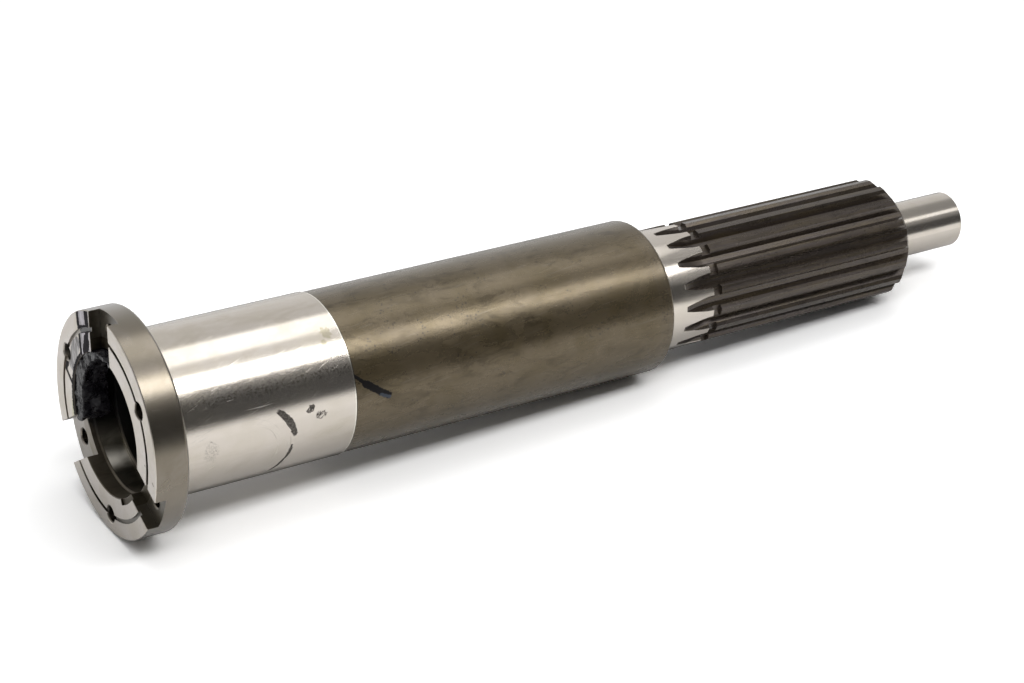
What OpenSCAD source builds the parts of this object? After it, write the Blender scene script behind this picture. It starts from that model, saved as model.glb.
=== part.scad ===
// Gearbox output shaft with a hollow flanged end, a splined end and a pilot stub.
// One piece of steel: turned, bored, milled, splined, then ground on its running surfaces.
// It stands on the flange face, with the shaft axis along +Z and the first drive slot towards -Y.

/* [Flange] */
// Outside diameter of the flange
flange_d = 92; // [88:0.5:100]
// Thickness of the flange
flange_t = 14.4; // [12:0.1:18]
// Radius on the flange's back edge
flange_round = 1.5; // [0.5:0.1:2]
// Width of the small edge break on the flange face
face_break = 0.4; // [0.2:0.1:0.6]

/* [Drive slots] */
// Number of slots milled across the flange face
slot_count = 3; // [3:1:4]
// Width of a drive slot
slot_w = 17.4; // [12:0.1:20]
// Depth of a drive slot below the flange face
slot_depth = 4.8; // [3:0.1:5.4]

/* [Face holes and groove] */
// Diameter of the circle that the tapped holes and the groove lie on
bolt_circle_d = 76.6; // [76:0.1:78]
// Core diameter of a tapped hole
tap_core_d = 6.8; // [5:0.1:7]
// Diameter of the countersink at the mouth of a tapped hole
tap_mouth_d = 8; // [7.4:0.1:8.2]
// Depth from the flange face to the bottom of a tapped hole
tap_bottom_z = 11.2; // [9:0.1:11.4]
// Width of the ring groove in the flange face
face_groove_w = 1.8; // [1:0.1:2.4]
// Depth of the ring groove in the flange face
face_groove_depth = 1; // [0.5:0.1:2]

/* [Bore] */
// Wall left between the ground seat and the journal
seat_wall = 5.7; // [5.2:0.1:7]
// Width of the step from the ground seat out to the mouth
mouth_step = 0.7; // [0.4:0.1:1.5]
// Depth of the mouth diameter
mouth_depth = 6.7; // [6:0.1:9]
// Width of the shoulder from the ground seat in to the main bore
shoulder_w = 2; // [1:0.1:4]
// Depth of the shoulder that ends the seat
seat_depth = 16.3; // [13:0.1:20]
// Depth of the straight main bore
main_bore_depth = 205; // [120:1:215]
// Diameter of the drilled cone at the bottom of the main bore
drill_d = 34; // [20:0.5:40]
// Width of the edge breaks inside the bore
bore_break = 0.6; // [0.3:0.1:1]

/* [Inner relief] */
// Angle from the second slot's middle to the start of the relief
relief_start = 16; // [15.6:0.2:18]
// Angle that the relief spans
relief_span = 22; // [10:1:40]
// Radial width of the relief
relief_w = 2.7; // [1:0.1:4]
// Depth of the relief below the flange face
relief_depth = 0.8; // [0.4:0.1:2]

/* [Journal and body] */
// Diameter of the ground journal
journal_d = 68.2; // [68:0.1:70]
// Distance from the flange face to the end of the journal
journal_end = 93; // [60:0.5:120]
// Width of the grinding relief beside the flange
undercut_w = 2.4; // [1:0.1:4]
// Depth of the grinding relief beside the flange
undercut_depth = 0.35; // [0.2:0.05:0.6]
// Diameter of the dark turned body
body_d = 67.4; // [66:0.1:67.8]
// Distance from the flange face to the end of the body
body_end = 248.6; // [235:0.2:252]
// Radius on the body's end edge
body_round = 1.6; // [0.5:0.1:3]
// Fillet where the neck meets the body
neck_fillet = 1.2; // [0.5:0.1:3]

/* [Spline] */
// Number of spline teeth
spline_teeth = 17; // [14:1:18]
// Module of the spline
spline_module = 3; // [2.9:0.05:3.05]
// Pressure angle of the spline
pressure_angle = 30; // [28:0.5:32]
// Distance from the flange face to the point where the tooth spaces reach full depth
spline_full_z = 274.6; // [272:0.2:280]
// Distance from the flange face to the end of the teeth
spline_end_z = 387; // [340:0.5:395]
// Diameter of the hob that leaves the run-outs
hob_d = 64; // [50:1:80]
// Angle from the first drive slot to the nearest tooth space
spline_phase = 4; // [0:0.5:20]
// Width of the chamfer at the end of the teeth
spline_chamfer = 4.2; // [3.9:0.1:6]
// Distance from the flange face to the stop ring groove
ring_z = 274.2; // [272:0.2:280]
// Width of the stop ring groove
ring_w = 4.2; // [1.5:0.1:5]
// Depth of the stop ring groove
ring_depth = 1.8; // [0.4:0.1:2.4]

/* [Pilot stub] */
// Diameter of the ground pilot stub
stub_d = 25.4; // [20:0.1:32]
// Overall length of the shaft
overall_l = 428; // [410:0.5:450]
// Width of the chamfer at the stub's end
stub_chamfer = 0.4; // [0.3:0.1:2]
// Fillet where the stub meets the spline
stub_fillet = 1; // [0.3:0.1:2]
// Diameter of the 60 degree centre at the mouth of the tapped centre hole
centre_d = 10.5; // [9:0.5:14]
// Core diameter of the tapped centre hole in the stub's end
centre_core_d = 8.5; // [5:0.1:8.6]
// Depth of the tapped centre hole
centre_depth = 37; // [20:0.5:60]

/* [Hidden] */
$fn = 96;
// How far a cutter stands clear of the surface that it enters
CUT = 1;
// Half of a 118 degree drill point, and half of a 60 degree centre
DRILL_HALF_ANGLE = 59;
CENTRE_HALF_ANGLE = 30;
// Segments in each rounded edge and in each tooth flank
ROUND_STEPS = 6;
FLANK_STEPS = 2;
flange_r = flange_d / 2;
journal_r = journal_d / 2;
seat_r = journal_r - seat_wall;
mouth_r = seat_r + mouth_step;
main_r = seat_r - shoulder_w;
body_r = body_d / 2;
stub_r = stub_d / 2;
bolt_r = bolt_circle_d / 2;
slot_pitch = 360 / slot_count;
first_slot = -90;
hob_r = hob_d / 2;
pitch_r = spline_module * spline_teeth / 2;
base_r = pitch_r * cos(pressure_angle);
spline_r = spline_module * (spline_teeth + 1) / 2;
root_r = spline_module * (spline_teeth - 1.5) / 2;
hob_axis_r = root_r + hob_r;

// Points of a quarter round about (cr, cz), from angle a1 to a2 in the outline's plane
function quarter_round(cr, cz, r, a1, a2) =
    [for (i = [0:ROUND_STEPS])
        let (a = a1 + (a2 - a1) * i / ROUND_STEPS)
        [cr + r * cos(a), cz + r * sin(a)]];

// Involute function of an angle in degrees, in radians
function inv(a) = tan(a) - a * PI / 180;

// Half the angle of a tooth space at radius r, in degrees
function space_half_angle(r) =
    180 / PI * (PI / (2 * spline_teeth) - inv(pressure_angle) + inv(acos(base_r / r)));

// Right flank of a tooth space with its middle along +Y, from the root outwards
function flank(side) =
    [for (i = [0:FLANK_STEPS])
        let (r = root_r + (spline_r + CUT - root_r) * i / FLANK_STEPS)
        let (a = side * space_half_angle(r))
        [r * sin(a), r * cos(a)]];

// Closed outline of a tooth space, from the left flank's top round to the right flank's top
function space_outline() =
    concat([for (i = [FLANK_STEPS:-1:0]) flank(-1)[i]], flank(1));

// Outside of the shaft as the lathe leaves it
module turned_outside() {
    rotate_extrude()
        polygon(concat(
            [[0, 0], [flange_r - face_break, 0], [flange_r, face_break]],
            quarter_round(flange_r - flange_round, flange_t - flange_round, flange_round, 0, 90),
            [[journal_r - undercut_depth, flange_t],
             [journal_r - undercut_depth, flange_t + undercut_w],
             [journal_r, flange_t + undercut_w + undercut_depth],
             [journal_r, journal_end],
             [body_r, journal_end]],
            quarter_round(body_r - body_round, body_end - body_round, body_round, 0, 90),
            quarter_round(spline_r + neck_fillet, body_end + neck_fillet, neck_fillet, 270, 180),
            [[spline_r, ring_z],
             [spline_r - ring_depth, ring_z],
             [spline_r - ring_depth, ring_z + ring_w],
             [spline_r, ring_z + ring_w],
             [spline_r, spline_end_z - spline_chamfer],
             [spline_r - spline_chamfer, spline_end_z]],
            quarter_round(stub_r + stub_fillet, spline_end_z + stub_fillet, stub_fillet, 270, 180),
            [[stub_r, overall_l - stub_chamfer],
             [stub_r - stub_chamfer, overall_l],
             [0, overall_l]]
        ));
}

// Stepped bore: mouth, ground seat, shoulder, long main bore and drilled cone
module stepped_bore() {
    drill_r = drill_d / 2;
    step_r = main_r - drill_r;
    rotate_extrude()
        polygon([
            [0, -CUT],
            [mouth_r + face_break + CUT, -CUT],
            [mouth_r, face_break],
            [mouth_r, mouth_depth],
            [seat_r, mouth_depth + (mouth_r - seat_r)],
            [seat_r, seat_depth],
            [main_r + bore_break, seat_depth],
            [main_r, seat_depth + bore_break],
            [main_r, main_bore_depth],
            [drill_r, main_bore_depth + step_r / 2],
            [0, main_bore_depth + step_r / 2 + drill_r / tan(DRILL_HALF_ANGLE)]
        ]);
}

// Drive slot milled from the rim into the bore, towards +X
module drive_slot() {
    translate([0, -slot_w / 2, -CUT])
        cube([flange_r + CUT, slot_w, slot_depth + CUT]);
}

// Ring groove turned in the flange face on the bolt circle
module face_groove() {
    rotate_extrude()
        translate([bolt_r - face_groove_w / 2, -CUT])
            square([face_groove_w, face_groove_depth + CUT]);
}

// Tapped blind hole on the bolt circle towards +X, with its mouth at height z
module tapped_hole(z) {
    core_r = tap_core_d / 2;
    sink_r = tap_mouth_d / 2;
    translate([bolt_r, 0, 0])
        rotate_extrude()
            polygon([
                [0, z - CUT],
                [sink_r, z - CUT],
                [sink_r, z],
                [core_r, z + sink_r - core_r],
                [core_r, tap_bottom_z],
                [0, tap_bottom_z + core_r / tan(DRILL_HALF_ANGLE)]
            ]);
}

// Shallow relief cut into the inner edge of one land
module inner_relief() {
    rotate([0, 0, relief_start])
        rotate_extrude(angle = relief_span)
            translate([mouth_r - CUT, -CUT])
                square([relief_w + CUT, relief_depth + CUT]);
}

// Straight part of a tooth space, with its middle towards +Y
module tooth_space() {
    translate([0, 0, spline_full_z])
        linear_extrude(spline_end_z + CUT - spline_full_z)
            polygon(space_outline());
}

// Run-out that the hob leaves as it climbs out of a tooth space
module hob_runout() {
    translate([0, hob_axis_r, spline_full_z])
        rotate([-90, 0, 0])
            rotate([0, 90, 0])
                rotate_extrude(angle = 90)
                    polygon([for (p = space_outline()) [hob_axis_r - p[1], p[0]]]);
}

// Tapped centre hole in the end of the stub
module centre_hole() {
    centre_r = centre_d / 2;
    core_r = centre_core_d / 2;
    cone_l = (centre_r - core_r) / tan(CENTRE_HALF_ANGLE);
    rotate_extrude()
        polygon([
            [0, overall_l + CUT],
            [centre_r, overall_l + CUT],
            [centre_r, overall_l],
            [core_r, overall_l - cone_l],
            [core_r, overall_l - centre_depth],
            [0, overall_l - centre_depth - core_r / tan(DRILL_HALF_ANGLE)]
        ]);
}

module output_shaft() {
    color("#8a857c")
        difference() {
            turned_outside();
            stepped_bore();
            face_groove();
            for (i = [0:slot_count - 1])
                rotate([0, 0, first_slot + i * slot_pitch]) {
                    drive_slot();
                    tapped_hole(slot_depth);
                    rotate([0, 0, slot_pitch / 2])
                        tapped_hole(0);
                }
            rotate([0, 0, first_slot + slot_pitch])
                inner_relief();
            for (i = [0:spline_teeth - 1])
                rotate([0, 0, first_slot + spline_phase - 90 + i * 360 / spline_teeth])
                    union() {
                        tooth_space();
                        hob_runout();
                    }
            centre_hole();
        }
}

output_shaft();
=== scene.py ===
import math

import bmesh
import bpy
from mathutils import Matrix, Vector


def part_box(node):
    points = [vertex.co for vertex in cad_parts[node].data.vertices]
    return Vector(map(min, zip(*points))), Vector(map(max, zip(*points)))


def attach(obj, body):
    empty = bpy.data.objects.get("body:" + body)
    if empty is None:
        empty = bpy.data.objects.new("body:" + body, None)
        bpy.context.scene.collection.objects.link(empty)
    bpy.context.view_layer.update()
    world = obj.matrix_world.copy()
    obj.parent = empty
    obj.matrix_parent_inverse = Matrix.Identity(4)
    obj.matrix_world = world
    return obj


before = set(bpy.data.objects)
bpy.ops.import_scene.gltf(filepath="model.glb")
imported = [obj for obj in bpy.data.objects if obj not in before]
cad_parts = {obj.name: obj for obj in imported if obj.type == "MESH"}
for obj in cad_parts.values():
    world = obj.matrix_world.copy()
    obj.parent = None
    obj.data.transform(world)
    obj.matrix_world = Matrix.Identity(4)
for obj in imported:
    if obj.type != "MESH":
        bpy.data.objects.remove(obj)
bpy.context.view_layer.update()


# Output shaft: one piece of alloy steel, turned and bored, with three drive slots milled in its
# flange and a hobbed spline. The body and the spline keep the dark oxide of heat treatment.
# The journal, the neck, the stub, the flange face and the bore's seat are ground bright.
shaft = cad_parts["output_shaft"]
FLANGE_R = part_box("output_shaft")[1].x
FLANGE_BACK = 0.0144
SLOT_DEPTH = 0.0048
MOUTH_R = 0.0291
SEAT_START = 0.0076
SEAT_END = 0.0163
JOURNAL_R = 0.0341
JOURNAL_START = FLANGE_BACK + 0.0024
JOURNAL_END = 0.093
BODY_END = 0.2486
SPLINE_R = 0.027
RING_START = 0.2742
SPLINE_END = 0.387
STUB_R = 0.0127
EDGE = 0.00012
MM = 1000.0

GROUND_STEEL = (0.665, 0.612, 0.550)
GROUND_FACE = (0.615, 0.575, 0.535)
SATIN_RIM = (0.200, 0.172, 0.134)
OXIDE = (0.120, 0.092, 0.052)
SPLINE_OXIDE = (0.074, 0.056, 0.033)
DARK_SLOT = (0.085, 0.073, 0.052)
LIGHT_SLOT = (0.31, 0.28, 0.25)
BORE = (0.105, 0.088, 0.064)
SEAT = (0.34, 0.31, 0.25)
OIL = (0.028, 0.024, 0.022)
TAR = (0.010, 0.009, 0.010)


class Nodes:
    """Short calls for adding and joining the nodes of one material or group."""

    def __init__(self, tree):
        self.tree = tree

    def add(self, kind, **settings):
        new = self.tree.nodes.new(kind)
        for name, value in settings.items():
            setattr(new, name, value)
        return new

    def put(self, value, socket):
        if isinstance(value, bpy.types.NodeSocket):
            self.tree.links.new(value, socket)
        elif isinstance(value, tuple) and socket.type == "RGBA":
            socket.default_value = (*value, 1)
        else:
            socket.default_value = value

    def fill(self, new, *values):
        """Give a node's first inputs their values, and return its outputs."""
        for value, socket in zip(values, new.inputs):
            self.put(value, socket)
        return new.outputs

    def math(self, operation, a, b=0.0, c=0.0, clamp=False):
        return self.fill(self.add("ShaderNodeMath", operation=operation, use_clamp=clamp), a, b, c)[0]

    def times(self, *values):
        result = values[0]
        for value in values[1:]:
            result = self.math("MULTIPLY", result, value)
        return result

    def most(self, *masks):
        result = masks[0]
        for mask in masks[1:]:
            result = self.math("MAXIMUM", result, mask)
        return result

    def inverse(self, mask):
        return self.math("SUBTRACT", 1.0, mask)

    def step(self, value, start, end):
        new = self.add("ShaderNodeMapRange", interpolation_type="SMOOTHSTEP")
        return self.fill(new, value, start, end)[0]

    def between(self, value, low, high, soft):
        rise = self.step(value, low - soft, low + soft)
        fall = self.step(value, high + soft, high - soft)
        return self.math("MULTIPLY", rise, fall)

    def vector(self, x, y, z):
        return self.fill(self.add("ShaderNodeCombineXYZ"), x, y, z)[0]

    def separate(self, vector):
        return self.fill(self.add("ShaderNodeSeparateXYZ"), vector)

    def vector_math(self, operation, a, b=(0.0, 0.0, 0.0)):
        outputs = self.fill(self.add("ShaderNodeVectorMath", operation=operation), a, b)
        return outputs["Value" if operation in ("LENGTH", "DISTANCE", "DOT_PRODUCT") else "Vector"]

    def scaled(self, vector, factor):
        new = self.add("ShaderNodeVectorMath", operation="SCALE")
        self.put(vector, new.inputs[0])
        self.put(factor, new.inputs["Scale"])
        return new.outputs[0]

    def noise(self, vector, scale, detail=3.0, rough=0.55, distortion=0.0):
        new = self.add("ShaderNodeTexNoise")
        self.put(vector, new.inputs["Vector"])
        self.put(scale, new.inputs["Scale"])
        self.put(detail, new.inputs["Detail"])
        self.put(rough, new.inputs["Roughness"])
        self.put(distortion, new.inputs["Distortion"])
        return new.outputs["Fac"]

    def mix(self, factor, a, b):
        new = self.add("ShaderNodeMix", data_type="RGBA")
        self.put(factor, new.inputs[0])
        self.put(a, new.inputs[6])
        self.put(b, new.inputs[7])
        return new.outputs[2]

    def blend(self, factor, a, b):
        new = self.add("ShaderNodeMix", data_type="FLOAT")
        self.put(factor, new.inputs[0])
        self.put(a, new.inputs[2])
        self.put(b, new.inputs[3])
        return new.outputs[0]

    def layered(self, colour, *layers):
        """Lay colours over the first one, each with a mask and a strength."""
        for mask, strength, over in layers:
            colour = self.mix(self.math("MULTIPLY", mask, strength), colour, over)
        return colour

    def levelled(self, level, *layers):
        """Lay plain values over the first one, each with a mask."""
        for mask, over in layers:
            level = self.blend(mask, level, over)
        return level

    def bump(self, height, strength, distance):
        new = self.add("ShaderNodeBump")
        self.put(strength, new.inputs["Strength"])
        self.put(distance, new.inputs["Distance"])
        self.put(height, new.inputs["Height"])
        return new.outputs[0]


def new_material(name):
    """A material with one surface shader: the material, its nodes and the shader's inputs."""
    made = bpy.data.materials.new(name)
    made.use_nodes = True
    made.node_tree.nodes.clear()
    n = Nodes(made.node_tree)
    shader = n.add("ShaderNodeBsdfPrincipled")
    n.fill(n.add("ShaderNodeOutputMaterial"), shader.outputs[0])
    return made, n, shader.inputs


FLOAT = "NodeSocketFloat"
VECTOR = "NodeSocketVector"


def new_group(name, inputs, *outputs):
    """A shader group: the group, its nodes, what it is given and what it puts out."""
    tree = bpy.data.node_groups.new(name, "ShaderNodeTree")
    for socket_name, kind in inputs.items():
        tree.interface.new_socket(socket_name, in_out="INPUT", socket_type=kind)
    for socket_name in outputs:
        tree.interface.new_socket(socket_name, in_out="OUTPUT", socket_type=FLOAT)
    n = Nodes(tree)
    return tree, n, n.add("NodeGroupInput").outputs, n.add("NodeGroupOutput").inputs


def place_group(n, tree, **values):
    """Place a group among the nodes n and return its outputs."""
    new = n.add("ShaderNodeGroup")
    new.node_tree = tree
    for name, value in values.items():
        n.put(value, new.inputs[name.replace("_", " ")])
    return new.outputs


# Round place of a point: its distance from the axis, its height along it and its angle
round_place, n, given, put_out = new_group("round_place", {"Point": VECTOR}, "Radius", "Height", "Angle")
x, y, z = n.separate(given["Point"])
n.put(n.vector_math("LENGTH", n.vector(x, y, 0.0)), put_out["Radius"])
n.put(z, put_out["Height"])
n.put(n.math("ARCTAN2", y, x), put_out["Angle"])

# Grinding lines: fine grooves across one direction, uneven in width and depth
grinding, n, given, put_out = new_group(
    "grinding", {"Point": VECTOR, "Across": FLOAT, "Pitch": FLOAT}, "Lines")
row = n.times(given["Across"], n.math("DIVIDE", 1.0, given["Pitch"]))
wander = n.noise(given["Point"], 18.0, 2.0)
n.put(n.noise(n.vector(row, wander, 0.0), 1.0, 4.0, 0.75), put_out["Lines"])

# Oil stain: soft cloudy patches with darker spots in them
staining, n, given, put_out = new_group("staining", {"Point": VECTOR, "Size": FLOAT}, "Clouds", "Spots")
scale = n.math("DIVIDE", 1.0, given["Size"])
clouds = n.noise(given["Point"], scale, 4.0, 0.6, distortion=0.6)
spots = n.noise(given["Point"], n.times(scale, 3.7), 3.0, 0.6, distortion=1.0)
n.put(n.step(clouds, 0.38, 0.66), put_out["Clouds"])
n.put(n.step(spots, 0.54, 0.72), put_out["Spots"])

# Marks on an unrolled surface have their sizes in millimetres. Their wobble is a noise that makes
# the outline ragged. An arc is thick in its middle and blunt at its ends.
arc_mark, n, given, put_out = new_group("arc_mark", {
    "Place": VECTOR, "Centre": VECTOR, "Radius": FLOAT, "Middle": FLOAT, "Spread": FLOAT,
    "Half Width": FLOAT, "Wobble": FLOAT}, "Mask")
away = n.vector_math("SUBTRACT", given["Place"], given["Centre"])
x, y, z = n.separate(away)
turned = n.math("SUBTRACT", n.math("ARCTAN2", y, x), given["Middle"])
share = n.math("ABSOLUTE", n.math("DIVIDE", turned, given["Spread"]))
off = n.math("ABSOLUTE", n.math("SUBTRACT", n.vector_math("LENGTH", away), given["Radius"]))
half = n.times(given["Half Width"], n.math("MULTIPLY_ADD", n.times(share, share), -0.5, 1.0))
gap = n.math("SUBTRACT", half, n.math("ADD", off, given["Wobble"]))
n.put(n.times(n.step(gap, -0.12, 0.18), n.step(share, 1.0, 0.86)), put_out["Mask"])

# A round or oval spot
spot_mark, n, given, put_out = new_group("spot_mark", {
    "Place": VECTOR, "Centre": VECTOR, "Half Size": VECTOR, "Wobble": FLOAT}, "Mask")
away = n.vector_math("SUBTRACT", given["Place"], given["Centre"])
reach = n.vector_math("LENGTH", n.vector_math("DIVIDE", away, given["Half Size"]))
n.put(n.step(n.math("ADD", reach, given["Wobble"]), 1.05, 0.8), put_out["Mask"])

# A straight stroke between two places
stroke_mark, n, given, put_out = new_group("stroke_mark", {
    "Place": VECTOR, "From": VECTOR, "To": VECTOR, "Half Width": FLOAT, "Wobble": FLOAT}, "Mask")
away = n.vector_math("SUBTRACT", given["Place"], given["From"])
whole = n.vector_math("SUBTRACT", given["To"], given["From"])
share = n.math("DIVIDE", n.vector_math("DOT_PRODUCT", away, whole),
               n.vector_math("DOT_PRODUCT", whole, whole), clamp=True)
reach = n.vector_math("DISTANCE", away, n.scaled(whole, share))
gap = n.math("SUBTRACT", given["Half Width"], n.math("ADD", reach, given["Wobble"]))
n.put(n.step(gap, -0.12, 0.20), put_out["Mask"])

# Rubbed scratches: thin lines at uneven distances, broken into short lengths
scratches, n, given, put_out = new_group(
    "scratches", {"Across": FLOAT, "Along": FLOAT, "Pitch": FLOAT, "Length": FLOAT}, "Mask")
row = n.math("DIVIDE", given["Across"], given["Pitch"])
run = n.math("DIVIDE", given["Along"], given["Length"])
hair = n.noise(n.vector(row, n.times(run, 0.4), 0.0), 1.0, 2.0, 0.6)
broken = n.noise(n.vector(n.times(row, 0.6), run, 7.0), 1.0, 2.0, 0.5)
n.put(n.times(n.step(hair, 0.60, 0.66), n.step(broken, 0.46, 0.60)), put_out["Mask"])

# Places in the shaft's material: round the axis, and unrolled from the journal in millimetres
steel, n, surface = new_material("shaft_steel")
point = n.add("ShaderNodeTexCoord").outputs["Object"]
stretched = n.vector_math("MULTIPLY", point, (1.0, 1.0, 0.35))
radius, height, angle = place_group(n, round_place, Point=point)
height_mm = n.times(height, MM)
round_mm = n.times(angle, JOURNAL_R * MM)
journal_place = n.vector(height_mm, round_mm, 0.0)
journal_wobble = n.math("SUBTRACT", n.noise(journal_place, 0.75, 4.0, 0.7), 0.5)

# Where each finish lies, from the height along the axis and the distance from it
on_journal = n.times(n.between(height, JOURNAL_START, JOURNAL_END, 0.0002), n.step(radius, 0.030, 0.031))
on_body = n.times(n.between(height, JOURNAL_END + 0.0001, BODY_END + 0.0003, EDGE),
                  n.step(radius, SPLINE_R + 0.0004, SPLINE_R + 0.0008))
in_spline = n.times(n.between(height, RING_START, SPLINE_END + 0.0001, EDGE),
                    n.step(radius, STUB_R + 0.0012, STUB_R + 0.0018))
in_runout = n.times(n.between(height, BODY_END + 0.008, RING_START + EDGE, EDGE),
                    n.step(radius, SPLINE_R - 0.00005, SPLINE_R - 0.00022))
dark = n.most(on_body, in_spline, in_runout)
on_rim = n.times(n.step(radius, FLANGE_R - 0.0115, FLANGE_R - 0.0112),
                 n.between(height, 0.0003, FLANGE_BACK + 0.0002, 0.0001))
on_face = n.step(height, 0.00025, 0.00005)
in_slot = n.times(n.between(height, 0.00025, SLOT_DEPTH + 0.0003, 0.0001),
                  n.step(radius, FLANGE_R - 0.0001, FLANGE_R - 0.0004))
in_bore = n.times(n.step(radius, MOUTH_R + 0.0004, MOUTH_R + 0.0002),
                  n.step(height, BODY_END - 0.01, BODY_END - 0.011))
on_seat = n.times(in_bore, n.between(height, SEAT_START, SEAT_END, 0.0002))

# Stains, grain and machining lines that lie all over the steel
clouds = place_group(n, staining, Point=point, Size=0.016)["Clouds"]
fine_clouds, fine_spots = place_group(n, staining, Point=stretched, Size=0.006)
turned_lines = place_group(n, grinding, Point=point, Across=height, Pitch=0.0006)["Lines"]
face_lines = place_group(n, grinding, Point=point, Across=radius, Pitch=0.0005)["Lines"]
grain = n.noise(point, 1100.0, 3.0, 0.7)
blotches = n.times(n.step(n.noise(stretched, 170.0, 6.0, 0.72, distortion=1.2), 0.48, 0.62),
                   n.step(n.noise(point, 34.0, 3.0), 0.38, 0.60))


def arcs(*rows):
    """Arcs on the journal, each by centre, radius, end angles, half width and raggedness."""
    mask = 0.0
    for centre, arc_radius, start, end, half_width, ragged in rows:
        mask = n.most(mask, place_group(
            n, arc_mark, Place=journal_place, Centre=(*centre, 0.0), Radius=arc_radius,
            Middle=math.radians((start + end) / 2), Spread=math.radians((end - start) / 2),
            Half_Width=half_width, Wobble=n.times(journal_wobble, ragged))["Mask"])
    return mask


def spot(centre, half_size, ragged):
    """One spot on the journal."""
    return place_group(n, spot_mark, Place=journal_place, Centre=(*centre, 0.0),
                       Half_Size=(*half_size, 1.0), Wobble=n.times(journal_wobble, ragged))["Mask"]


def strokes(place, wobble, *rows):
    """Straight strokes, each by its two ends, half width and raggedness."""
    mask = 0.0
    for start, end, half_width, ragged in rows:
        mask = n.most(mask, place_group(
            n, stroke_mark, Place=place, From=(*start, 0.0), To=(*end, 0.0), Half_Width=half_width,
            Wobble=n.times(wobble, ragged))["Mask"])
    return mask


def scratched(across, along, pitch, length):
    return place_group(n, scratches, Across=across, Along=along, Pitch=pitch, Length=length)["Mask"]


# Oil on the journal: arcs round a rubbed ring, streaked drops, and a smear that lies on the body
RING_CENTRE = (45.0, 11.3)
slanted = n.math("MULTIPLY_ADD", height_mm, 1.6, round_mm)
streaked = n.step(n.noise(n.vector(slanted, n.times(round_mm, 0.35), 0.0), 1.1, 3.0, 0.65), 0.42, 0.50)
journal_oil = n.times(on_journal, n.most(
    arcs((RING_CENTRE, 21.0, -53, -9, 1.55, 2.2),
         (RING_CENTRE, 19.6, 0, 26, 0.8, 1.2),
         ((41.0, 14.0), 22.2, 12, 40, 0.8, 1.2)),
    spot((73.0, -3.3), (1.5, 1.2), 2.0),
    n.times(spot((77.0, 0.9), (2.6, 1.8), 1.6), streaked),
    n.times(spot((72.2, -2.2), (1.9, 1.3), 1.6), streaked)))
body_smear = n.times(n.between(height_mm, 93.1, 112.0, 0.2), strokes(
    journal_place, journal_wobble,
    ((93.0, -11.6), (97.7, -7.1), 0.8, 1.4),
    ((97.7, -7.1), (103.3, -2.9), 1.6, 1.8),
    ((103.3, -2.9), (107.6, 0.1), 1.6, 2.2)))
smear_tip = strokes(journal_place, journal_wobble, ((104.5, -0.9), (108.4, 1.0), 0.8, 1.8))
oil_marks = n.most(journal_oil, body_smear)

# Scratches, scuffs and stains of use on the journal, and a painted highlight on the step at its end
from_ring = n.vector_math("DISTANCE", journal_place, (*RING_CENTRE, 0.0))
rubbed = n.times(on_journal, n.between(from_ring, 11.5, 21.5, 0.8), n.step(height_mm, 46.0, 50.0),
                 scratched(from_ring, round_mm, 0.5, 9.0))
rubbed_dark = n.times(on_journal, n.between(from_ring, 10.0, 21.0, 1.0), n.step(height_mm, 44.0, 50.0),
                      scratched(n.times(from_ring, 1.13), round_mm, 0.8, 7.0))
drawn = n.times(on_journal, n.between(round_mm, -14.5, -6.5, 2.0), n.between(height_mm, 22.0, 56.0, 4.0),
                scratched(round_mm, height_mm, 0.45, 16.0))
faint = n.times(on_journal, scratched(n.math("MULTIPLY_ADD", height_mm, 0.4, round_mm), height_mm, 0.7, 7.0))
scuffed = n.most(rubbed, drawn, n.times(faint, 0.5))
worn_patch = n.times(on_journal, spot((29.0, 5.2), (3.2, 5.4), 2.6),
                     n.step(n.noise(journal_place, 1.5, 3.0, 0.75, distortion=1.5), 0.50, 0.60))
grime = n.times(on_journal, n.between(round_mm, -18.2, -12.5, 1.6), n.step(grain, 0.50, 0.62))
haze = n.times(on_journal, n.step(n.noise(stretched, 75.0, 5.0, 0.65, distortion=0.8), 0.42, 0.68))
yellow_stain = n.times(on_journal, n.most(spot((87.0, -31.0), (2.2, 3.0), 2.2),
                                          spot((84.5, -27.0), (1.3, 1.9), 2.2)))
# Painted highlight: a thin bright line on the edge of the step at the journal's end
edge_highlight = n.between(height, JOURNAL_END - 0.00045, JOURNAL_END - 0.00002, 0.00008)
ground = n.layered(
    GROUND_STEEL,
    (clouds, 0.35, (0.60, 0.55, 0.46)),
    (turned_lines, 0.18, (0.52, 0.48, 0.43)),
    (scuffed, 0.55, (0.74, 0.71, 0.66)),
    (haze, 0.35, (0.47, 0.42, 0.33)),
    (yellow_stain, 0.45, (0.34, 0.31, 0.17)),
    (worn_patch, 0.7, (0.20, 0.18, 0.16)),
    (rubbed_dark, 0.6, (0.30, 0.27, 0.23)),
    (grime, 0.6, (0.15, 0.13, 0.09)),
    (edge_highlight, 1.0, (0.88, 0.85, 0.76)))

# The oxide of the body, with its blotches, fine scratches, dark specks, a turned ring near
# its end and a painted shadow line at its start, and the redder, streaked oxide in the spline
body_scratch = n.times(on_body, n.between(height_mm, 96.0, 246.0, 3.0),
                       scratched(n.math("MULTIPLY_ADD", height_mm, 0.12, round_mm), height_mm, 0.6, 11.0))
turned_ring = n.times(on_body, n.between(height_mm, 241.5, 247.5, 1.0), n.step(turned_lines, 0.45, 0.6))
specks = n.add("ShaderNodeTexVoronoi", feature="F1")
n.put(point, specks.inputs["Vector"])
n.put(620.0, specks.inputs["Scale"])
speck_patch = n.times(n.between(height_mm, 98.0, 118.0, 3.0), n.between(round_mm, -28.0, -17.5, 2.0))
speckled = n.step(n.math("MULTIPLY_ADD", speck_patch, 0.12, n.noise(point, 95.0, 2.0)), 0.56, 0.64)
speckle = n.times(on_body, n.step(specks.outputs["Distance"], 0.30, 0.16), speckled)
# Painted shade: a dark line on the body just past the step at the journal's end
edge_shade = n.times(on_body, n.between(height, JOURNAL_END + 0.00006, JOURNAL_END + 0.0005, 0.0001))
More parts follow.
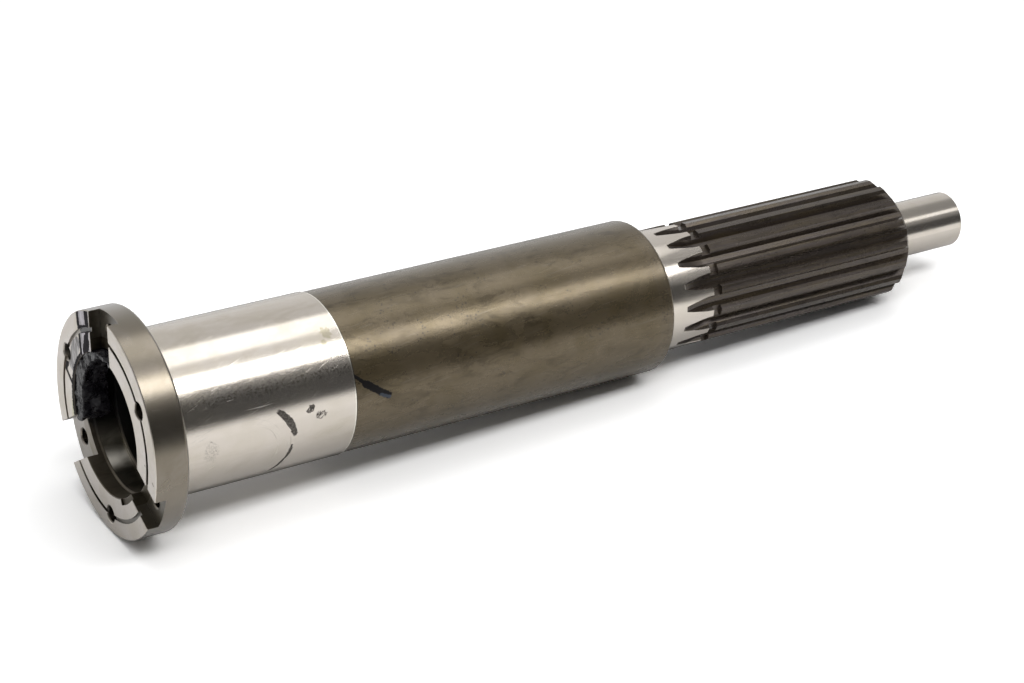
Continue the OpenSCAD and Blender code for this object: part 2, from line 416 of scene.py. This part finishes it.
streak = n.noise(n.vector(n.times(angle, 30.0), n.times(height, 26.0), radius), 1.0, 5.0, 0.62,
                 distortion=0.5)
spline_tint = n.layered(
    SPLINE_OXIDE,
    (n.step(streak, 0.36, 0.62), 1.0, (0.062, 0.049, 0.044)),
    (n.step(streak, 0.58, 0.70), 0.7, (0.120, 0.098, 0.070)),
    (blotches, 0.6, (0.034, 0.025, 0.018)))
oxide = n.layered(
    OXIDE,
    (clouds, 1.0, (0.098, 0.073, 0.034)),
    (fine_spots, 0.55, (0.100, 0.076, 0.042)),
    (blotches, 0.8, (0.052, 0.036, 0.013)),
    (turned_ring, 0.5, (0.125, 0.105, 0.078)),
    (body_scratch, 0.35, (0.20, 0.175, 0.14)),
    (speckle, 0.8, (0.016, 0.013, 0.010)),
    (edge_shade, 0.8, (0.012, 0.009, 0.006)),
    (n.most(in_spline, in_runout), 1.0, spline_tint))

# On the flange face, a dried dark film left of the first slot with its dark folds, painted reflection
# where its waves rise and painted shade along its left border, a smear and a strand that lead to
# the residue, a greenish edge and two nicks
face_place = n.vector_math("MULTIPLY", point, (MM, MM, 0.0))
face_x, face_y, face_z = n.separate(face_place)
face_wobble = n.math("SUBTRACT", n.noise(face_place, 0.9, 4.0, 0.7), 0.5)
film_area = strokes(
    face_place, face_wobble,
    ((-14.6, -47.0), (-14.8, -34.0), 5.6, 1.0),
    ((-14.4, -34.0), (-14.0, -23.0), 4.9, 1.0))
film = n.times(on_face, n.step(face_x, -9.0, -9.4), film_area)
# Dark strokes on the film: the first two lie along its left border and are painted shade, the next three are
# its black folds and the last two cross it
film_folds_and_edge_shade = strokes(
    face_place, face_wobble,
    ((-20.4, -47.0), (-19.6, -36.0), 1.3, 0.8),
    ((-19.4, -36.0), (-18.4, -24.0), 1.1, 0.9),
    ((-11.8, -47.0), (-10.9, -38.5), 1.9, 1.2),
    ((-10.9, -38.5), (-12.2, -31.5), 1.5, 1.2),
    ((-12.2, -31.5), (-14.0, -26.0), 2.6, 1.4),
    ((-19.6, -34.8), (-11.6, -37.7), 0.7, 0.6),
    ((-18.1, -33.2), (-9.4, -36.6), 0.6, 0.6))
strand = strokes(
    face_place, face_wobble,
    ((-32.6, -19.4), (-33.4, -14.7), 1.8, 1.2),
    ((-33.4, -14.7), (-34.6, -11.4), 1.1, 1.2),
    ((-34.6, -11.4), (-29.6, -7.2), 0.95, 0.5))
mouth_brim = n.times(n.step(face_x, -18.0, -19.5), n.step(face_y, 8.2, 6.6),
                     n.step(n.math("MULTIPLY_ADD", face_wobble, 0.0022, radius), 0.0310, 0.0308))
folds_and_edge_shade_on_face = n.times(on_face, n.most(film_folds_and_edge_shade, strand, mouth_brim))
face_smear = n.times(on_face, strokes(
    face_place, face_wobble,
    ((-24.0, -25.0), (-28.2, -16.0), 3.2, 1.6),
    ((-21.5, -27.5), (-25.0, -20.0), 2.4, 1.6)))
green_edge = n.times(on_face, strokes(face_place, face_wobble, ((-30.6, 1.5), (-31.2, 7.8), 0.9, 1.4)))
nicks = strokes(
    face_place, face_wobble,
    ((36.1, 2.1), (36.5, 2.5), 0.32, 0.3),
    ((42.3, 7.1), (43.0, 8.0), 0.36, 0.4))
wave = n.noise(n.vector(n.times(face_x, 0.55), n.times(face_y, 0.12), 0.0), 1.0, 3.0, 0.6, distortion=0.6)
smear_tint = n.mix(n.step(wave, 0.38, 0.62), (0.10, 0.095, 0.10), (0.38, 0.37, 0.37))
# Painted reflection: the film is lighter where its waves rise
film_tint_and_reflection = n.mix(n.step(wave, 0.4, 0.6), (0.15, 0.14, 0.16), (0.40, 0.38, 0.43))
face_tint = n.layered(
    GROUND_FACE,
    (clouds, 1.0, (0.56, 0.515, 0.45)),
    (fine_spots, 0.4, (0.46, 0.44, 0.40)),
    (green_edge, 0.5, (0.50, 0.50, 0.30)),
    (face_smear, 0.9, smear_tint),
    (film, 0.85, film_tint_and_reflection),
    (folds_and_edge_shade_on_face, 0.96, (0.012, 0.010, 0.013)),
    (nicks, 0.85, (0.12, 0.10, 0.07)))

# Tar from the residue on the walls of the mouth and of the first slot
to_residue = n.vector_math("DOT_PRODUCT", face_place, (-0.688, -0.725, 0.0))
tar_limit = n.blend(n.step(height, 0.0055, 0.0080), 8.0, -3.0)
tarred = n.most(
    n.times(n.step(to_residue, tar_limit, 13.0), n.step(radius, 0.0302, 0.0300),
            n.step(height, 0.0400, 0.0300), n.step(height, 0.0001, 0.0003)),
    n.times(film_area, n.between(height, 0.0002, 0.0030, 0.0001), n.step(radius, 0.0452, 0.0450)))

# The satin rim with two ticks, the slots, of which the left one is lighter and the right one has a
# painted highlight along its floor's corner, and the bore with its polished seat, which has a pale
# patch of painted highlight
rim_place = n.vector(height_mm, n.times(angle, FLANGE_R * MM), 0.0)
ticks = n.times(on_rim, strokes(
    rim_place, journal_wobble,
    ((2.3, -22.6), (5.0, -22.3), 0.14, 0.3),
    ((2.6, -16.4), (5.4, -15.9), 0.14, 0.3)))
satin = n.layered(SATIN_RIM, (clouds, 1.0, (0.172, 0.146, 0.106)), (ticks, 0.6, (0.42, 0.38, 0.33)))
# Painted highlight: a bright line along the corner of the right slot's floor
corner_highlight = n.times(n.between(height, 0.0041, SLOT_DEPTH + 0.0002, 0.0001),
                      strokes(face_place, face_wobble, ((30.2, 7.4), (43.6, 15.1), 0.28, 0.1)))
slot_tint = n.layered(
    n.mix(fine_clouds, DARK_SLOT, (0.06, 0.048, 0.032)),
    (n.step(face_x, -18.0, -20.0), 1.0, n.mix(fine_clouds, LIGHT_SLOT, (0.26, 0.235, 0.19))),
    (corner_highlight, 1.0, (0.90, 0.88, 0.80)))
bore_tint = n.layered(
    BORE,
    (fine_clouds, 1.0, (0.075, 0.061, 0.042)),
    (n.step(height, SEAT_END + 0.0001, SEAT_END + 0.0009), 1.0, (0.030, 0.027, 0.021)))
# Painted highlight: a pale, dull patch on the seat where light would catch it
seat_highlight = n.times(on_seat, n.between(n.math("DEGREES", angle), 117.0, 131.0, 7.0),
                     n.step(n.noise(point, 110.0, 2.0, 0.5), 0.15, 0.60))
seat_tint = n.layered(
    SEAT, (fine_clouds, 1.0, (0.20, 0.18, 0.14)), (seat_highlight, 1.0, (0.95, 0.90, 0.80)))

# All the colours together
oil_tint = n.layered(
    OIL,
    (n.step(n.noise(journal_place, 1.3, 4.0, 0.7), 0.42, 0.60), 1.0, (0.15, 0.135, 0.12)),
    (body_smear, 1.0, (0.016, 0.016, 0.018)),
    (smear_tip, 0.7, (0.085, 0.100, 0.125)))
n.put(n.layered(
    ground,
    (on_rim, 1.0, satin),
    (on_face, 1.0, face_tint),
    (in_slot, 1.0, slot_tint),
    (in_bore, 1.0, bore_tint),
    (on_seat, 1.0, seat_tint),
    (dark, 1.0, oxide),
    (oil_marks, 0.95, oil_tint),
    (tarred, 0.96, TAR)), surface["Base Color"])

# How rough each finish is, where it is bare metal, and where it has an oily coat
oxide_rough = n.math("MULTIPLY_ADD", n.math("SUBTRACT", grain, 0.5), 0.10, n.blend(fine_clouds, 0.25, 0.33))
rough = n.levelled(
    0.17, (n.times(clouds, 0.5), 0.23), (on_rim, 0.25), (on_face, 0.34), (in_slot, 0.42),
    (in_bore, 0.34), (on_seat, 0.36))
rough = n.levelled(
    n.math("MULTIPLY_ADD", scuffed, 0.16, rough), (dark, oxide_rough), (oil_marks, 0.45),
    (film, 0.24), (n.most(folds_and_edge_shade_on_face, tarred), 0.75))
n.put(rough, surface["Roughness"])
n.put(n.levelled(
    1.0, (dark, n.blend(body_smear, 0.72, 1.0)), (n.times(in_bore, n.inverse(on_seat)), 0.6),
    (seat_highlight, 0.0)), surface["Metallic"])
n.put(n.times(n.most(n.times(dark, 0.5), on_rim), n.inverse(oil_marks)), surface["Coat Weight"])
surface["Coat Roughness"].default_value = 0.28

# Relief: machining lines, scuffs, pitting on the journal, the oxide's grain and the film's waves
pitted = n.times(on_journal, n.step(n.noise(stretched, 90.0, 3.0), 0.40, 0.62))
relief = n.times(n.blend(on_face, turned_lines, face_lines), 0.04)
relief = n.math("SUBTRACT", relief, n.times(scuffed, 0.12))
relief = n.math("ADD", relief, n.times(grain, n.math("MULTIPLY_ADD", pitted, 0.20, 0.03)))
relief = n.blend(dark, relief, n.math("MULTIPLY_ADD", grain, 0.16, n.times(fine_clouds, 0.15)))
relief = n.math("MULTIPLY_ADD", n.times(n.most(film, face_smear), wave), 0.8, relief)
relief = n.math("SUBTRACT", relief, n.times(folds_and_edge_shade_on_face, 0.4))
n.put(n.bump(relief, strength=0.5, distance=0.0002), surface["Normal"])

for material_slot in shaft.material_slots:
    material_slot.material = steel


# Residue: old grease, baked black and wrinkled. It clings to the mouth's wall from the end of
# the first slot down to the left slot. It's a lump swept round the wall, thick at the left slot.
RESIDUE_START = math.radians(163.5)
RESIDUE_SWEEP = math.radians(122)
RESIDUE_RINGS = 44
RESIDUE_LOW = 0.0004
RESIDUE_HIGH = 0.0118
RESIDUE_FLOOR = 0.00025
RESIDUE_WALL = MOUTH_R + 0.0002
RESIDUE_THICK = 0.0095
# Thickness and depth as shares of the largest, by the angle from the left slot in degrees
RESIDUE_SHAPE = [
    (0, 0.40, 0.85), (3, 0.72, 1.00), (10, 0.86, 1.05), (22, 0.88, 1.05), (36, 0.78, 1.00), (52, 0.68, 0.95),
    (68, 0.56, 0.90), (84, 0.42, 0.72), (100, 0.24, 0.50), (112, 0.16, 0.38), (122, 0.08, 0.30)]


def residue_shape(degrees):
    """Thickness and depth between the two rows of RESIDUE_SHAPE that an angle lies between."""
    for (low, thick_a, deep_a), (high, thick_b, deep_b) in zip(RESIDUE_SHAPE, RESIDUE_SHAPE[1:]):
        if degrees <= high:
            break
    share = (degrees - low) / (high - low)
    return thick_a + share * (thick_b - thick_a), deep_a + share * (deep_b - deep_a)


def select_points(mesh, wanted):
    """Select the mesh's points that wanted() is true of. The object is in edit mode."""
    bpy.ops.mesh.select_all(action="DESELECT")
    shape = bmesh.from_edit_mesh(mesh)
    for vertex in shape.verts:
        vertex.select = wanted(vertex.co)
    shape.select_flush(True)
    bmesh.update_edit_mesh(mesh)


bpy.ops.object.select_all(action="DESELECT")
middle = Vector((RESIDUE_WALL - RESIDUE_THICK / 2, 0, (RESIDUE_LOW + RESIDUE_HIGH) / 2))
bpy.ops.mesh.primitive_plane_add(size=1, location=middle, rotation=(math.pi / 2, 0, 0))
residue = bpy.context.object
residue.name = "residue_lump"
bpy.ops.object.transform_apply(location=True, rotation=True, scale=True)
bpy.ops.object.mode_set(mode="EDIT")
bpy.ops.mesh.select_all(action="SELECT")
bpy.ops.transform.resize(value=(RESIDUE_THICK, 1, RESIDUE_HIGH - RESIDUE_LOW), center_override=middle)
bpy.ops.mesh.subdivide(number_cuts=4)
bpy.ops.mesh.spin(steps=RESIDUE_RINGS, angle=RESIDUE_SWEEP, center=(0, 0, 0), axis=(0, 0, 1))
# The spin may go either way round, and the lump ends in the same place for both
shape = bmesh.from_edit_mesh(residue.data)
swept_to = sum(math.atan2(vertex.co.y, vertex.co.x) for vertex in shape.verts)
spin_side = 1 if swept_to > 0 else -1
for ring in range(RESIDUE_RINGS + 1):
    turn = RESIDUE_SWEEP * ring / RESIDUE_RINGS
    thick, deep = residue_shape(math.degrees(turn if spin_side > 0 else RESIDUE_SWEEP - turn))
    ray = Vector((math.cos(spin_side * turn), math.sin(spin_side * turn), 0))
    select_points(residue.data,
                  lambda place: abs(place.x * ray.y - place.y * ray.x) < 1e-5 and place.dot(ray) > 0)
    wall_point = ray * RESIDUE_WALL + Vector((0, 0, RESIDUE_LOW))
    bpy.ops.transform.resize(value=(thick, thick, deep), center_override=wall_point)
bpy.ops.mesh.select_all(action="SELECT")
bpy.ops.mesh.normals_make_consistent(inside=False)
bpy.ops.object.mode_set(mode="OBJECT")
# With no window, rotate turns the other way, so the angles are negative
turn_back = RESIDUE_START if spin_side > 0 else RESIDUE_START + RESIDUE_SWEEP
bpy.ops.transform.rotate(value=-turn_back, orient_axis="Z", center_override=(0, 0, 0))
bpy.ops.object.transform_apply(location=True, rotation=True, scale=True)
smooth = residue.modifiers.new("smooth", "SUBSURF")
smooth.levels = 2
smooth.render_levels = 2
bpy.ops.object.modifier_apply(modifier="smooth")
for name, size, fold_height in (("lumps", 0.0060, 0.0034), ("wrinkles", 0.0024, 0.0007)):
    folds = bpy.data.textures.new(name, "CLOUDS")
    folds.noise_scale = size
    folds.noise_depth = 3
    raised = residue.modifiers.new(name, "DISPLACE")
    raised.texture = folds
    raised.strength = fold_height
    raised.mid_level = 0.5
    bpy.ops.object.modifier_apply(modifier=name)
# Points that the folds push through the flange face go back behind it
bpy.ops.object.mode_set(mode="EDIT")
select_points(residue.data, lambda place: place.z < RESIDUE_FLOOR)
bpy.ops.transform.resize(value=(1, 1, 0), center_override=(0, 0, RESIDUE_FLOOR))
bpy.ops.object.mode_set(mode="OBJECT")
bpy.ops.object.shade_smooth()

tar, n, surface = new_material("residue_tar")
point = n.add("ShaderNodeTexCoord").outputs["Object"]
radius, height, angle = place_group(n, round_place, Point=point)
wrinkles = n.noise(n.vector(radius, height, n.times(angle, 0.012)), 300.0, 4.0, 0.50, distortion=1.1)
dust, crest_sheen_spots = place_group(n, staining, Point=point, Size=0.004)
# Painted sheen: lighter spots on the wrinkles' crests. The dust clouds are lighter and rougher
n.put(n.layered(
    (0.007, 0.006, 0.008),
    (dust, 1.0, (0.016, 0.015, 0.018)),
    (crest_sheen_spots, n.step(wrinkles, 0.5, 0.7), (0.050, 0.047, 0.050))), surface["Base Color"])
n.put(n.blend(dust, 0.22, 0.40), surface["Roughness"])
n.put(n.times(n.step(wrinkles, 0.52, 0.72), 0.35), surface["Coat Weight"])
n.put(n.bump(wrinkles, strength=0.6, distance=0.0010), surface["Normal"])
surface["Specular IOR Level"].default_value = 0.22
surface["Coat Roughness"].default_value = 0.14
residue.data.materials.append(tar)
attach(residue, "root")


# Studio: a white table under the lying shaft, long soft boxes above it and a pale room.
# The shaft is modelled upright, so the table is a plane along its side, and the camera is
# turned with it. The table can be seen from its upper side only.
TABLE_NORMAL = Vector((0.0777, -0.9957, -0.0514)).normalized()
TABLE_FRONT = Vector((0.9957, 0.0777, 0.0)).normalized()
TABLE_DROP = 0.0467
TABLE_SIZE = 7.0
PAPER = 0.86
PAPER_SEEN = 1.25
BOX_DISTANCE = 1.3


def level_ramp(n, value, stops):
    """A grey ramp through stops of position and level."""
    ramp = n.add("ShaderNodeValToRGB")
    n.put(value, ramp.inputs[0])
    ramp.color_ramp.elements.remove(ramp.color_ramp.elements[0])
    for position, level in stops:
        stop = ramp.color_ramp.elements.new(position)
        stop.color = (level, level, level, 1)
    ramp.color_ramp.elements.remove(ramp.color_ramp.elements[-1])
    return ramp.outputs[0]


def plainly_seen(rays):
    """1 for rays from the camera, past clear pieces too, and 0 for light on the shaft."""
    return n.math("MAXIMUM", rays["Is Camera Ray"], rays["Is Transmission Ray"])


bpy.ops.object.select_all(action="DESELECT")
table_turn = TABLE_NORMAL.to_track_quat("Z", "Y")
bpy.ops.mesh.primitive_plane_add(size=TABLE_SIZE, location=-TABLE_NORMAL * TABLE_DROP,
                                 rotation=table_turn.to_euler())
table = bpy.context.object
table.name = "table"

# Painted shade: as the steel mirrors it, the table follows a ramp across it: white far behind the shaft,
# dark in a band just behind it as its shadow, white again just in front of it and darker further
# towards the camera. Beyond the flange end it is evenly light
paper = bpy.data.materials.new("table_paper")
paper.use_nodes = True
paper.node_tree.nodes.clear()
n = Nodes(paper.node_tree)
rays = n.add("ShaderNodeLightPath").outputs
across, along, up = n.separate(n.add("ShaderNodeTexCoord").outputs["Object"])
depth = n.fill(n.add("ShaderNodeMapRange"), across, -1.0, 1.5)[0]
mirrored_with_painted_shadow = level_ramp(n, depth, [
    (0, 1), (0.2, 0.95), (0.34, 0.24), (0.38, 0.28), (0.412, 0.64), (0.428, 0.90), (0.50, 0.98),
    (0.60, 0.50), (0.88, 0.10)])
mirrored_with_painted_shadow = n.blend(n.step(along, 0.01, -0.03), mirrored_with_painted_shadow, 0.95)
level = n.levelled(PAPER, (rays["Is Glossy Ray"], mirrored_with_painted_shadow), (plainly_seen(rays), PAPER_SEEN))
sheet = n.fill(n.add("ShaderNodeBsdfDiffuse"), n.vector(level, level, level))[0]
clear = n.add("ShaderNodeBsdfTransparent").outputs[0]
backfacing = n.add("ShaderNodeNewGeometry").outputs["Backfacing"]
one_sided = n.fill(n.add("ShaderNodeMixShader"), backfacing, sheet, clear)[0]
n.fill(n.add("ShaderNodeOutputMaterial"), one_sided)
table.data.materials.append(paper)


def soft_box(name, lean, width, length, middle, power):
    """A long lamp parallel to the shaft, leaning by lean degrees from overhead to the front."""
    data = bpy.data.lights.new(name, "AREA")
    data.shape = "RECTANGLE"
    data.size = width
    data.size_y = length
    data.energy = power
    box = bpy.data.objects.new(name, data)
    bpy.context.scene.collection.objects.link(box)
    back = TABLE_NORMAL * math.cos(math.radians(lean)) + TABLE_FRONT * math.sin(math.radians(lean))
    back.z = 0
    back.normalize()
    along_shaft = Vector((0, 0, 1))
    axes = Matrix((along_shaft.cross(back), along_shaft, back)).transposed().to_4x4()
    box.matrix_world = Matrix.Translation(back * BOX_DISTANCE + Vector((0, 0, middle))) @ axes


soft_box("overhead_box", -10, 0.62, 1.4, 0.38, 4.6)
soft_box("front_box", 32.5, 0.38, 1.68, 0.24, 12)
soft_box("front_box_edge", 31, 0.30, 0.7, 1.43, 0.8)
soft_box("warm_card", 12, 0.45, 1.45, 0.22, 1.3)

# The room's brightness by the angle round the shaft in degrees: 0 is overhead, negative angles
# are the back of the room, and positive ones are its dark front, behind the camera
ROOM = [(-180, 0.9), (-95, 0.85), (-60, 0.78), (-32, 0.70), (-18, 0.34), (8, 0.30),
        (50, 0.26), (60, 0.08), (96, 0.08), (104, 0.60), (180, 0.9)]
ROOM_TURN = math.radians(85.54)
world = bpy.data.worlds.new("studio")
bpy.context.scene.world = world
world.use_nodes = True
world.node_tree.nodes.clear()
n = Nodes(world.node_tree)
turned = n.add("ShaderNodeMapping")
n.put(n.add("ShaderNodeTexCoord").outputs["Generated"], turned.inputs["Vector"])
turned.inputs["Rotation"].default_value = (0, 0, ROOM_TURN)
sweep = n.fill(n.add("ShaderNodeTexGradient", gradient_type="RADIAL"), turned.outputs[0])["Fac"]
levels = level_ramp(n, sweep, [(lean / 360 + 0.5, level) for lean, level in ROOM])
room = n.fill(n.add("ShaderNodeBackground"), levels)[0]
white = n.add("ShaderNodeBackground").outputs[0]
seen = plainly_seen(n.add("ShaderNodeLightPath").outputs)
backdrop = n.fill(n.add("ShaderNodeMixShader"), seen, room, white)[0]
n.fill(n.add("ShaderNodeOutputWorld"), backdrop)


# Camera at the photo's viewing angle: it looks along the lying shaft from the flange end,
# so in the shaft's own frame it stands below the flange face and is rolled over.
LENS_MM = 90.83
CAMERA_PLACE = Vector((0.84997, -0.42682, -0.35532))
CAMERA_AHEAD = Vector((-0.77407, 0.39553, 0.49434)).normalized()
CAMERA_UP = Vector((-0.33429, -0.91845, 0.21142)).normalized()
camera_data = bpy.data.cameras.new("camera")
camera_data.lens = LENS_MM
camera_data.clip_start = 0.01
camera = bpy.data.objects.new("camera", camera_data)
bpy.context.scene.collection.objects.link(camera)
camera_side = CAMERA_AHEAD.cross(CAMERA_UP)
axes = Matrix((camera_side, camera_side.cross(CAMERA_AHEAD), -CAMERA_AHEAD)).transposed().to_4x4()
camera.matrix_world = Matrix.Translation(CAMERA_PLACE) @ axes
bpy.context.scene.camera = camera
bpy.context.scene.view_settings.view_transform = "Standard"
